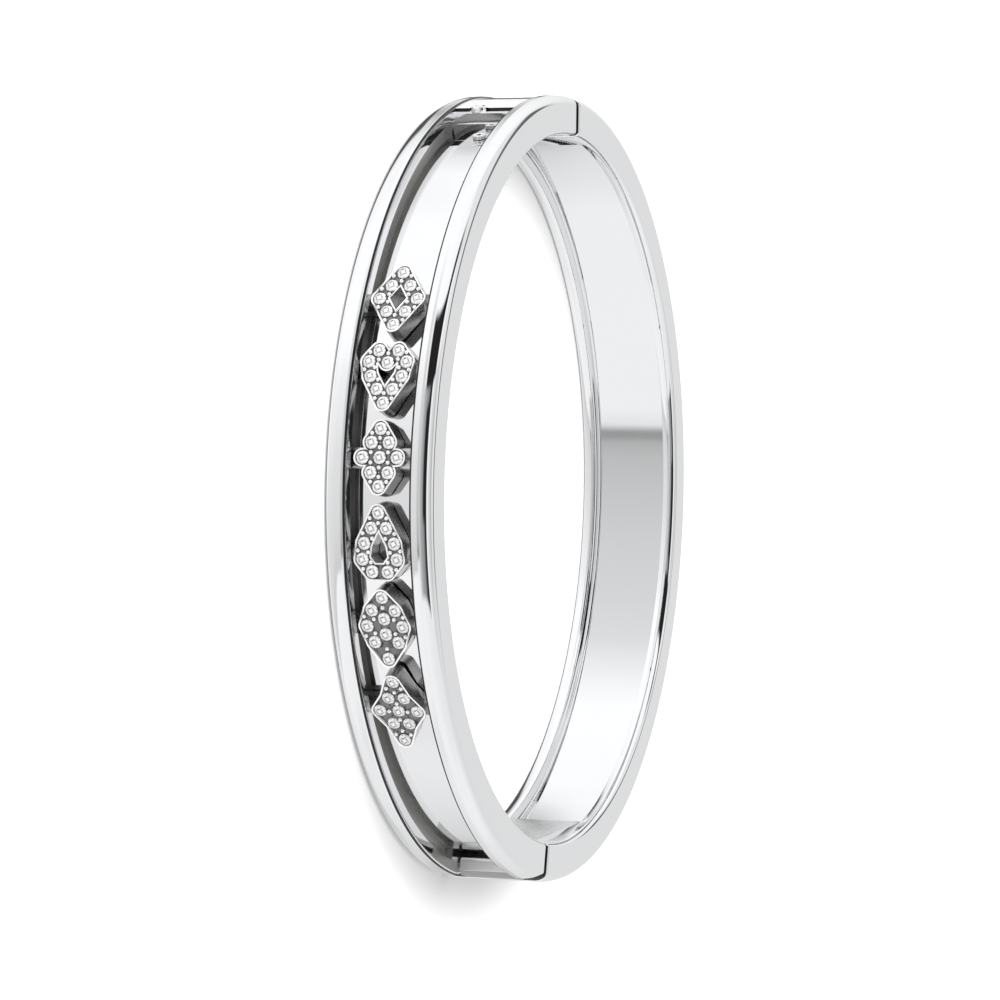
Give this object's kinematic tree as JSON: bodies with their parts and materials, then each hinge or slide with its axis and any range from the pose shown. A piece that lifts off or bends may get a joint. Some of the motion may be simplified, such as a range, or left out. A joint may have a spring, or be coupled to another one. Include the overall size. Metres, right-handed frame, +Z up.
{
  "type": "hinged slide-charm bangle",
  "caption": "Round hinged bangle: an open channel in its front half holds pave slide charms, and its plain back half swings open.",
  "frame": {"origin": "centre of the bottom of the bounding box: the wrist axis where it meets the side face that the bangle lies on", "axes": "+Z up along the wrist axis, the middle of the charm channel faces -Y, the hinge is at +X and the clasp at -X"},
  "size_m": [0.066, 0.066, 0.0089],
  "materials": {
    "front_metal": "mirror polished white metal",
    "back_metal": "mirror polished white metal",
    "fittings": "polished white metal",
    "charm_metal": "polished white metal with bead prongs",
    "stones": "round brilliant cut clear stones"
  },
  "bodies": {
    "front": {"front_channel": "front_metal", "hinge_pin": "fittings", "stop_screw": "fittings", "floor_stud": "fittings"},
    "back": {"back_half": "back_metal", "clasp_tongue": "fittings"},
    "charms": {"charm_lozenge": "charm_metal", "charm_heart": "charm_metal", "charm_rosette": "charm_metal", "charm_drop": "charm_metal", "charm_leaf": "charm_metal", "charm_star": "charm_metal", "stones_lozenge": "stones", "stones_heart": "stones", "stones_rosette": "stones", "stones_drop": "stones", "stones_leaf": "stones", "stones_star": "stones"}
  },
  "joints": [
    {"name": "hinge", "type": "hinge", "parent": "front", "child": "back", "pos_m": [0.032, -0.00319, 0.00445], "axis": [0, 0, -1], "range_deg": [0, 55]},
    {"name": "charm_slide", "type": "hinge", "parent": "front", "child": "charms", "pos_m": [0, 0, 0.00445], "axis": [0, 0, 1], "range_deg": [-32, 35]}
  ]
}
